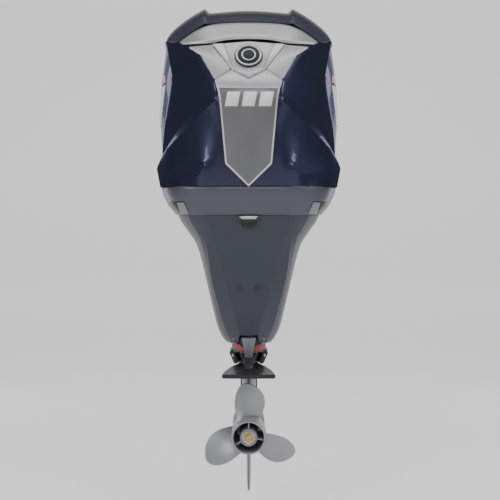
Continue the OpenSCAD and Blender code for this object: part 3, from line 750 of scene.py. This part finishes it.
# %% [markdown]
# ## Lower cowl
# The tray that the powerhead sits in. Its wall leans in towards the seam below.
# On each rear corner a dark patch paints the shade under the cowl's corner, with a grey latch lever over it.

# %% Lower cowl rings
def superellipse(half, front, rear, squareness, count):
    """Points around one closed section, as (x, y)."""
    middle, reach = (front + rear) / 2, (front - rear) / 2
    ring = []
    for k in range(count):
        angle = 2 * math.pi * k / count
        c, s = math.cos(angle), math.sin(angle)
        x = half * math.copysign(abs(c) ** (2 / squareness), c)
        y = middle + reach * math.copysign(abs(s) ** (2 / squareness), s)
        ring.append((x, y))
    return ring


def rings(name, rows, thick, count, keep):
    """A shell through sections (z, half width, front, rear, squareness), of faces where keep(x, y, z)."""
    make = bmesh.new()
    loops = [
        [make.verts.new(mm((x, y, z))) for x, y in superellipse(half, front, rear, square, count)]
        for z, half, front, rear, square in rows
    ]
    bridge(make, loops)
    gone = [face for face in make.faces if not keep(*(face.calc_center_median() / MM))]
    bmesh.ops.delete(make, geom=gone, context="FACES")
    face_outward(make)
    piece = from_bmesh(name, make)
    thicken(piece, thick)
    soften(piece, 1.0, 40)
    settle(piece)
    return smooth(piece, 30)


SEAM = SEAM_Z / MM
# Forward of this Y, the tray's wall starts at this height
FLOOR_FRONT, FLOOR_TOP = -226, 142
lower_rows = [
    (SEAM - 8, 246, 140, -549, 4.8), (SEAM + 0.5, 247, 141, -550, 4.8),
    (SEAM + 0.6, 257, 150, -562, 4.8), (98, 264, 152, -568, 4.7), (113, 277, 160, -576, 4.5),
    (127, 289, 166, -583, 4.3), (142, 297, 172, -590, 4.1), (156, 305, 177, -595, 3.9),
    (171, 311, 181, -598, 3.8), (COWL_FOOT - 2.5, 315, 184, -600, 3.8),
]
lower_cowl = rings("lower_cowl_shell", lower_rows, 5, 128, lambda x, y, z: y < FLOOR_FRONT or z > FLOOR_TOP)
dress(lower_cowl, "motor", SLATE, "slate_paint", "lower_cowl")
print("lower cowl faces", len(lower_cowl.data.polygons))

# %% [markdown]
# Each side latch is a lighter lever over a dark patch on the rear corner; the patch is painted shade.

# %% Side latches
lower_skin = skin_of(lower_cowl)
for side, word in SIDES:
    # A dark patch on the corner: painted shade under the cowl's corner, with the lever laid over it.
    shade_patch = patch(
        f"latch_corner_shade_{word}", lower_skin,
        [(side * x, z) for x, z in ((232, 96), (202, 96), (218, 141), (268, 141))], 0.6, 2.0,
    )
    dress(shade_patch, "motor", BLACK_PLASTIC_AND_SHADE, "black_plastic")
    lever = patch(
        f"latch_lever_{word}", lower_skin,
        [(side * x, z) for x, z in ((233, 98), (203, 98), (220, 136), (244, 136))], 5.0, 4.0,
    )
    dress(lever, f"{word}_latch_lever", SLATE_LIGHT_AND_HIGHLIGHT, "slate_cover", f"side_latch_{word}")
print("side latches done")

# %% [markdown]
# ## Apron
# The apron hides the shaft housing from behind. It is built from a net: a centre panel that narrows downward
# and folds to a crease, a narrow facet on either side, and flanks that turn forward.
# Two ears flare out at the top to meet the lower cowl.

# %% Apron net
apron_rows = [
    # z, then (x, y) of: crease, panel edge, facet edge, flank corner, flank side, front edge
    (SEAM - 0.4, (0, -562), (145, -557), (150, -553), (206, -528), (254, -440), (256, -236)),
    (70, (0, -557), (138, -551), (149, -543), (200, -508), (246, -430), (248, -236)),
    (44, (0, -550), (130, -543), (147, -531), (184, -494), (226, -415), (228, -236)),
    (24, (0, -545), (125, -537), (146, -522), (170, -500), (213, -412), (215, -236)),
    (0, (0, -538), (117, -529), (144, -510), (164, -484), (194, -404), (196, -236)),
    (-34, (0, -529), (106, -519), (141, -497), (156, -470), (181, -398), (183, -236)),
    (-100, (0, -513), (90, -501), (136, -474), (146, -450), (164, -388), (166, -236)),
    (-175, (0, -495), (72, -482), (121, -450), (133, -426), (148, -374), (150, -236)),
    (-240, (0, -477), (55, -463), (104, -428), (118, -404), (133, -360), (135, -236)),
    (-300, (0, -458), (38, -446), (88, -408), (104, -382), (120, -346), (122, -236)),
    (-330, (0, -449), (33, -438), (78, -398), (94, -372), (110, -338), (112, -236)),
    (-352, (0, -443), (36, -424), (66, -394), (84, -366), (99, -332), (101, -240)),
    (-366, (0, -438), (38, -416), (62, -388), (76, -360), (88, -326), (90, -244)),
]
apron_net = [[(x, y, row[0]) for x, y in row[1:]] for row in apron_rows]
apron_points, apron_faces = net(apron_net)
apron_faces = [face for face in apron_faces if face[0] not in ((10, 0), (11, 0))]
rows_down = range(len(apron_rows))
foot = len(apron_rows) - 1
apron = cage(
    "apron_shell", apron_points, apron_faces,
    [
        (1.0, *[(r, 0) for r in rows_down if r < foot - 1]), (1.0, *[(r, 1) for r in rows_down]),
        (1.0, *[(r, 2) for r in rows_down]), (0.6, *[(r, 3) for r in rows_down]),
        (1.0, *[(0, c) for c in range(6)]), (0.9, *[(foot, c) for c in range(1, 6)]),
        (1.0, (foot - 2, 0), (foot - 2, 1), (foot - 1, 1)), (0.8, (3, 2), (3, 3), (3, 4), (3, 5)),
    ],
    thick=5, levels=2, angle=7,
)
dress(apron, "motor", SLATE_DEEP, "slate_paint", "apron")
print("apron faces", len(apron.data.polygons))

# %% [markdown]
# A half-round pocket at the top of the apron holds the rear latch, under a pale fixed lip.
# The half disc in it is the part a finger pulls: its foot swings out.
# Two screws with sunk heads hold the apron to the shaft housing. Near its foot are two small slots a side,
# each drawn as a dark patch of painted shade over a light patch of painted highlight.

# %% Rear latch and screws
apron_skin = skin_of(apron)


def half_round(name, half, drop, top, y, thick, finish, slot, body, *stands_for):
    """A flat half disc hanging from height top."""
    turns = [math.pi * k / 24 for k in range(25)]
    points = {k: (half * math.cos(t), y, top - drop * math.sin(t)) for k, t in enumerate(turns)}
    piece = cage(name, points, [list(points)], levels=0, mirror=False, thick=thick, bevel=0.8)
    return dress(piece, body, finish, slot, *stands_for)


LATCH_TOP = SEAM - 1.5
half_round("latch_pocket", 38, 42, LATCH_TOP, -563.5, 4, BLACK_PLASTIC_AND_SHADE, "black_plastic", "motor")
half_round(
    "latch_grip", 27, 26, LATCH_TOP - 15, -571, 3, BLACK_PAINT_AND_SHADE, "black_paint",
    "rear_latch_lever", "rear_latch",
)
LIP_Y = -565.4
lip_points = {
    "a": (0, LIP_Y, LATCH_TOP - 1), "b": (32, LIP_Y, LATCH_TOP - 1),
    "c": (22, LIP_Y, LATCH_TOP - 11), "d": (0, LIP_Y, LATCH_TOP - 11),
}
lip = cage("latch_lip", lip_points, [["a", "b", "c", "d"]], levels=0, thick=1.6, bevel=0.5)
dress(lip, "motor", SILVER, "silver_paint")
SCREW_X, SCREW_Z = 33, -157
for side, word in SIDES:
    face = apron_skin.ray_cast(mm((side * SCREW_X, BEHIND, SCREW_Z)), Vector((0, 1, 0)))[0] / MM
    screw = disc(f"apron_screw_{word}", 10, 1, (face.x, face.y - 2.5, face.z), 6, rim=3, proud=1.5)
    dress(screw, "motor", BLACK_PLASTIC_AND_SHADE, "black_plastic", *(("apron_screws",) if side == 1 else ()))
    # Each slot is two painted patches: a dark one for the slot's shade and a light one below for its
    # highlight.
    for mark, drop, finish, slot in (
        ("upper", 0, BLACK_PLASTIC_AND_SHADE, "black_plastic"), ("lower", -12, SLATE_LIGHT_AND_HIGHLIGHT, "slate_cover"),
    ):
        corners = [(side * x, z + drop) for x, z in ((58, -340), (53, -340), (51, -332), (56, -332))]
        slot_shade_highlight_patch = patch(f"apron_slot_{mark}_{word}", apron_skin, corners, 0.8, 2.0, fine=3)
        dress(slot_shade_highlight_patch, "motor", finish, slot)
print("latch and screws done")

# %% [markdown]
# ## Propeller
# Each blade is a fan of sections. A section is a thin lens across the blade, turned by the pitch angle,
# and the outline of the blade fixes where each section's leading and trailing edges are.
# The outline has few points; one level of subdivision gives the smooth edge.
# The blade thins from root to tip, and its pitch eases off on the way.

# %% Propeller
PROP_LOW, PROP_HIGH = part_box("propeller")
PROP_AXIS = (PROP_LOW.z + PROP_HIGH.z) / 2
BLADE_EDGES = [
    # radius, then the angles of the two edges from the blade's middle line, in degrees
    (50, -44, 47), (66, -36, 42), (86, -30.5, 37), (106, -27, 32.5), (126, -23, 27), (144, -18.5, 20.5),
    (158, -14, 12.5), (167, -11, 5.5), (172, -8, 0.5), (174, -4.5, -3),
]
BLADE_ROOT, BLADE_TIP = BLADE_EDGES[0][0], BLADE_EDGES[-1][0]
BLADE_Y = -530
BLADE_PITCH = 430
BLADE_TURNS = (0, 118, 240)
ROOT_THICK, THINNING, HALF_EDGE = 7.0, 5.2, 0.7


def blade_mesh(make, turn):
    """Add one blade to a bmesh, its middle line turned clockwise by turn degrees."""
    across = 16
    slope = BLADE_PITCH / (2 * math.pi)
    sheets = []
    for side in (1, -1):
        sheet = []
        for radius, low, high in BLADE_EDGES:
            reach = (radius - BLADE_ROOT) / (BLADE_TIP - BLADE_ROOT)
            row = []
            for j in range(across + 1):
                share = j / across
                angle = math.radians(low + (high - low) * share)
                lens = 4 * share * (1 - share)
                belly = side * ((ROOT_THICK - THINNING * reach) / 2 * lens + HALF_EDGE)
                y = BLADE_Y + slope * angle * (0.92 - 0.35 * reach) + belly
                spin = angle + math.radians(turn)
                row.append(make.verts.new(mm((radius * math.sin(spin), y, radius * math.cos(spin)))))
            sheet.append(row)
        sheets.append(sheet)
    for sheet in sheets:
        fill_grid(make, sheet)
    front, back = sheets
    for k in (0, across):
        for a, b, c, d in zip(front, front[1:], back[1:], back):
            make.faces.new([a[k], b[k], c[k], d[k]])
    for row in (0, -1):
        for k in range(across):
            make.faces.new([front[row][k], front[row][k + 1], back[row][k + 1], back[row][k]])


def turned(profile, steps=72):
    """A lathe-turned ring about the Y axis, from (radius, y) points, as a bmesh."""
    make = bmesh.new()
    turns = [2 * math.pi * k / steps for k in range(steps)]
    loops = [[make.verts.new(mm((r * math.sin(t), y, r * math.cos(t)))) for t in turns] for r, y in profile]
    bridge(make, loops + loops[:1])
    return make


def finish_mesh(name, make, place=(0, 0, 0), levels=0, bevel=0.0, angle=35):
    """A closed piece from a bmesh, with its faces outward, refined and rounded as asked."""
    bmesh.ops.recalc_face_normals(make, faces=make.faces)
    piece = from_bmesh(name, make)
    piece.location = place
    if levels:
        subdivide(piece, levels)
    if bevel:
        soften(piece, bevel)
    settle(piece)
    return smooth(piece, angle)


axis_place = (0, 0, PROP_AXIS)
for number, turn in enumerate(BLADE_TURNS):
    make = bmesh.new()
    blade_mesh(make, turn)
    blade = finish_mesh(f"blade_{number + 1}", make, axis_place, levels=1, angle=50)
    dress(blade, "prop", PROP_PAINT, "silver_paint", *(("propeller",) if number == 0 else ()))
print("blades done")

# %% [markdown]
# Exhaust leaves through the hub, so the hub is two turned rings, one inside the other, joined by three spokes.
# A brass nut and a washer hold it on the shaft.

# %% Hub and nut
def hub_part(name, profile, steps=72, bevel=0.0, angle=40, finish=PROP_PAINT, slot="silver_paint"):
    """One lathe-turned piece on the propeller shaft's axis."""
    part = finish_mesh(name, turned(profile, steps), axis_place, bevel=bevel, angle=angle)
    return dress(part, "prop", finish, slot)


hub_part("hub_skirt", [
    (52, -598), (56, -599), (59, -590), (60, -560), (59, -500), (57, -464), (50, -462), (50, -520),
])
hub_part("inner_hub", [(22, -596), (27, -598), (30, -594), (31, -470), (22, -470)])


def block(make, low, high, turn):
    """Add a box between two corners in millimetres, turned about Y by turn degrees."""
    (x0, y0, z0), (x1, y1, z1) = low, high
    c, s = math.cos(math.radians(turn)), math.sin(math.radians(turn))
    points = [
        make.verts.new(mm((x * c + z * s, y, z * c - x * s)))
        for z in (z0, z1)
        for x, y in ((x0, y0), (x1, y0), (x1, y1), (x0, y1))
    ]
    for face in ((3, 2, 1, 0), (4, 5, 6, 7), (0, 1, 5, 4), (1, 2, 6, 5), (2, 3, 7, 6), (3, 0, 4, 7)):
        make.faces.new([points[i] for i in face])


spokes = bmesh.new()
for turn in (100, 0, 240):
    block(spokes, (-2.2, -588, 28), (2.2, -480, 53), turn)
dress(finish_mesh("hub_spokes", spokes, axis_place, bevel=0.8), "prop", PROP_PAINT, "silver_paint")
nut_profile = [(0.5, -615), (11, -615), (15, -611), (15, -600), (18, -598), (18, -592), (0.5, -592)]
hub_part("prop_nut", nut_profile, 6, 0.8, 35, BRASS, "brass")
hub_part("thrust_washer", [(10, -592), (21.5, -593), (21.5, -588), (10, -588)], 72, 0.5, 35, STEEL, "steel")
print("propeller done")

# %% [markdown]
# ## Gearcase
# One casting in life: a bullet round the propeller shaft, a thin strut above it, a plate over the propeller
# that keeps air out, a head that bolts to the shaft housing, and a skeg below that guards the blades.
# Here each is its own smooth form. Bullet, strut and skeg are slate like the covers; plate and head are drawn
# near black, which is painted shade on the one casting.

# %% Gearcase pieces
make = turned([
    (44, -455), (54, -458), (57, -450), (57.5, -380), (57, -320), (54, -280), (47, -245), (36, -215),
    (20, -194), (2, -187), (1.5, -192), (36, -225), (44, -300),
])
bullet = finish_mesh("gearcase_bullet", make, axis_place, angle=40)
dress(bullet, "motor", SLATE, "black_paint", "gearcase")


def loft(name, rows, finish, slot="black_paint", levels=0, bevel=0.0):
    """A closed skin through level rings, each a height and a list of (x, y) points."""
    make = bmesh.new()
    loops = [[make.verts.new(mm((x, y, z))) for x, y in ring] for z, ring in rows]
    bridge(make, loops)
    make.faces.new(loops[0])
    make.faces.new(loops[-1])
    piece = finish_mesh(name, make, levels=levels, bevel=bevel, angle=40)
    return dress(piece, "motor", finish, slot)


def foil(half, nose, tail, count=28):
    """A wing section in plan: round nose, fine tail."""
    ring = []
    for k in range(count):
        turn = 2 * math.pi * k / count
        along = (1 + math.cos(turn)) / 2
        width = half * abs(math.sin(turn)) ** 0.8 * (0.35 + 0.65 * along ** 0.6) * 1.12
        ring.append((math.copysign(width, math.sin(turn)), tail + (nose - tail) * along))
    return ring


PLATE_LOW, PLATE_HIGH = -457, -446
loft("gearcase_strut", [
    (-640, foil(40, -205, -450)), (-612, foil(31, -204, -452)), (-560, foil(28, -202, -456)),
    (-500, foil(29, -202, -458)), (PLATE_HIGH - 4, foil(31, -204, -460)),
], SLATE, levels=1)
fin = [(3.5, -470), (3.5, -556), (0, -562), (-3.5, -556), (-3.5, -470)]
trim_tab = loft(
    "trim_fin", [(PLATE_LOW - 22, [(x, y + 6) for x, y in fin]), (PLATE_LOW + 1, fin)], BLACK_PAINT_AND_SHADE, "anode",
    bevel=0.8,
)
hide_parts("trim_tab")
plate_plan = [
    (0, -591), (50, -591), (80, -590), (90, -584), (91, -566), (86, -520), (78, -470), (62, -410), (40, -351),
    (31, -300), (24, -264), (0, -250),
]
plate_plan += [(-x, y) for x, y in reversed(plate_plan[1:-1])]
# The plate is drawn near black though it is the same casting: painted shade.
loft("vent_plate", [
    (PLATE_LOW, [(x * 0.985, y * 0.998) for x, y in plate_plan]), (PLATE_LOW + 2, plate_plan),
    (PLATE_HIGH - 2, plate_plan), (PLATE_HIGH, [(x * 0.97, y * 0.997) for x, y in plate_plan]),
], BLACK_PAINT_AND_SHADE)


def head_plan(half, tail_half, nose, tail):
    """A pointed outline in plan, half wide at its shoulders and tail_half wide at its tail."""
    right = [
        (0, nose), (half * 0.55, nose - 8), (half * 0.9, nose - 30), (half, nose - 60),
        (tail_half, tail), (0, tail),
    ]
    return right + [(-x, y) for x, y in reversed(right[1:-1])]


# Head and bar are drawn near black as well: painted shade.
loft("gearcase_head", [
    (PLATE_HIGH - 1, head_plan(46, 16, -226, -400)), (-430, head_plan(44, 16, -226, -396)),
    (-399, head_plan(52, 30, -226, -394)),
], BLACK_PAINT_AND_SHADE, bevel=2.0)
bar = [(15, -380), (15, -452), (0, -458), (-15, -452), (-15, -380)]
loft("head_bar", [
    (PLATE_HIGH - 1, bar), (-412, [(x, y + 34) for x, y in bar]), (-402, [(x, y + 44) for x, y in bar]),
], BLACK_PAINT_AND_SHADE, bevel=2.0)
print("gearcase pieces done")

# %% [markdown]
# The skeg is a thin blade under the bullet, swept back, rounded at its tip.

# %% Skeg
skeg_rows = [
    # height, nose, tail, half thickness
    (-705, -262, -446, 11), (-760, -282, -442, 9.5), (-820, -312, -436, 8.5), (-868, -346, -428, 7.5),
    (-892, -372, -418, 6), (-899, -386, -404, 4),
]
loft("skeg", [(z, foil(half, nose, tail, 20)) for z, nose, tail, half in skeg_rows], SLATE, levels=1)
print("skeg done")

# %% [markdown]
# Slanted lobes beside the head hold its bolts. Over them sits the apron's foot: a faceted tongue between
# two red reflective strips, each on a grey backing.

# %% Lobes, tongue and strips
def slanted(name, start, end, radius, y0, y1, finish, slot, *stands_for):
    """A stadium from start to end in X and Z, drawn out along Y."""
    (x0, z0), (x1, z1) = start, end
    lean = math.atan2(z1 - z0, x1 - x0)
    ring = []
    for centre, first in (((x1, z1), lean - math.pi / 2), ((x0, z0), lean + math.pi / 2)):
        for k in range(9):
            turn = first + math.pi * k / 8
            ring.append((centre[0] + radius * math.cos(turn), centre[1] + radius * math.sin(turn)))
    make = bmesh.new()
    loops = [[make.verts.new(mm((x, y, z))) for x, z in ring] for y in (y0, y1)]
    bridge(make, loops)
    for loop in loops:
        make.faces.new(loop)
    piece = finish_mesh(name, make, bevel=1.2, angle=35)
    return dress(piece, "motor", finish, slot, *stands_for)


FOOT_PIECES = (
    # name, then start and end (x, z), radius, rear and front Y, finish, slot
    ("head_lobe", (60, -408), (47, -438), 10, -345, -250, SLATE_DARK, "slate_paint"),
    ("head_bolt", (57, -415), (56, -416), 5, -352, -344, STEEL, "steel"),
    ("foot_web", (28, -352), (26, -372), 11, -404, -384, SLATE, "slate_paint"),
    ("strip_back", (50, -371), (22, -388), 11, -410, -392, SLATE_LIGHT_AND_HIGHLIGHT, "slate_cover"),
    ("strip_red", (50, -371), (23, -387.5), 6.5, -413, -408, RED, "red_strip"),
)
for side, word in SIDES:
    for name, (x0, z0), (x1, z1), *rest in FOOT_PIECES:
        stands_for = ("red_strips",) if (name, side) == ("strip_red", 1) else ()
        slanted(f"{name}_{word}", (side * x0, z0), (side * x1, z1), *rest, *stands_for)
tongue_points = {
    "a": (0, -449, -342), "b": (26, -440, -341), "c": (16, -428, -390), "d": (0, -434, -391),
    "e": (13, -418, -416), "f": (0, -422, -418),
}
tongue = cage(
    "tongue", tongue_points, [["a", "b", "c", "d"], ["d", "c", "e", "f"]],
    levels=0, thick=14, bevel=1.5, angle=6,
)
dress(tongue, "motor", SLATE_LIGHT_AND_HIGHLIGHT, "slate_cover", "rear_tongue")
print("lower unit done")

# %% [markdown]
# ## Working parts
# Brackets, shafts, castings and the powerhead keep the frame's own mesh.
# Each gets a finish, and a small rounding on its sharp edges so that they catch light.

# %% Finishes for the frame's own parts
PART_FINISH = {
    BRACKET_PAINT: ("clamp_bracket_port", "clamp_bracket_stbd", "swivel_bracket", "steering_shaft",
                    "tilt_unit_body", "tilt_ram_barrel", "tilt_support_lever", "shaft_housing"),
    BLACK_PAINT_AND_SHADE: ("tilt_pump_motor", "tilt_oil_reservoir", "starter_motor", "head_cover"),
    STEEL: ("tilt_tube", "tilt_tube_nuts", "lower_pivot_pin", "tilt_ram_rod", "ram_upper_pin", "mount_bolts",
            "prop_shaft", "drive_shaft", "shift_rod"),
    IRON: ("flywheel", "pinion", "forward_gear", "reverse_gear", "clutch_dog"),
    ACETAL: ("tilt_bushes", "steering_bushes"),
    RUBBER: ("upper_mounts", "lower_mounts", "rigging_grommet"),
    BARE_CASTING: ("exhaust_guide", "bearing_carrier", "throttle_body"),
    BLOCK_METAL: ("cylinder_block",),
    BLACK_PLASTIC_AND_SHADE: ("intake_manifold", "engine_control_box", "flywheel_cover", "water_screens", "water_pump",
                    "tilt_switch"),
    BRASS: ("throttle_plate",),
    WHITE_PAINT: ("oil_filter",),
}
for finish, names in PART_FINISH.items():
    for name in names:
        part = nodes[name]
        part.data.materials.clear()
        part.data.materials.append(finish.material)
        soften(part, 0.8, 40).harden_normals = True
print("finished frame parts:", sum(len(names) for names in PART_FINISH.values()))

# %% [markdown]
# ## Studio
# A pale sweep just wide enough for the view, so the cowl's flanks mirror the darker room beside it.
# Soft boxes stand on both sides, by the camera and overhead, and two weak ones behind light the edges.

# %% Studio
def sweep(near=-7.0, depth=9.0, height=7.0, width=4.2, foot=-0.95, curve=1.5):
    """A floor that curves up into a wall behind the motor."""
    profile = [(near, foot), (depth - curve, foot)]
    profile += [
        (depth - curve + curve * math.sin(a), foot + curve - curve * math.cos(a))
        for a in [math.radians(10 * k) for k in range(1, 10)]
    ]
    profile.append((depth, height))
    mesh = bpy.data.meshes.new("studio_sweep")
    points = [(x, y, z) for y, z in profile for x in (-width, width)]
    mesh.from_pydata(points, [], [[2 * i, 2 * i + 1, 2 * i + 3, 2 * i + 2] for i in range(len(profile) - 1)])
    piece = link_mesh("studio_sweep", mesh)
    mesh.shade_smooth()
    return piece


floor = sweep()
paper = Finish("studio_paper", Roughness=0.9, Emission_Strength=1.05)
paper.shader.inputs["Base Color"].default_value = grey(0.34)
paper.shader.inputs["Emission Color"].default_value = grey(0.8)
floor.data.materials.append(paper.material)


def soft_box(name, place, target, size, watts):
    """A rectangular area light that faces a target."""
    data = bpy.data.lights.new(name, "AREA")
    data.shape, data.size, data.size_y, data.energy = "RECTANGLE", size[0], size[1], watts
    light = bpy.data.objects.new(name, data)
    bpy.context.scene.collection.objects.link(light)
    light.location = place
    light.rotation_euler = (Vector(target) - Vector(place)).to_track_quat("-Z", "Y").to_euler()
    return light


soft_box("box_left", (-2.4, -2.6, 1.4), (0, -0.3, 0.2), (1.0, 2.2), 60)
soft_box("box_right", (2.6, -2.0, 1.6), (0, -0.3, 0.3), (1.0, 2.0), 55)
soft_box("box_camera", (0.2, -3.6, 1.3), (0, -0.3, 0.0), (1.6, 1.2), 26)
soft_box("box_top", (0, -1.2, 2.9), (0, -0.3, 0.4), (2.2, 1.2), 18)
for side, word in ((1, "right"), (-1, "left")):
    soft_box(f"rim_{word}", (side * 1.95, 1.6, 0.5), (0, -0.2, 0.2), (0.8, 2.0), 13)
world = bpy.data.worlds.new("room")
world.use_nodes = True
world.node_tree.nodes["Background"].inputs["Color"].default_value = grey(0.16)
bpy.context.scene.world = world
print("studio ready")
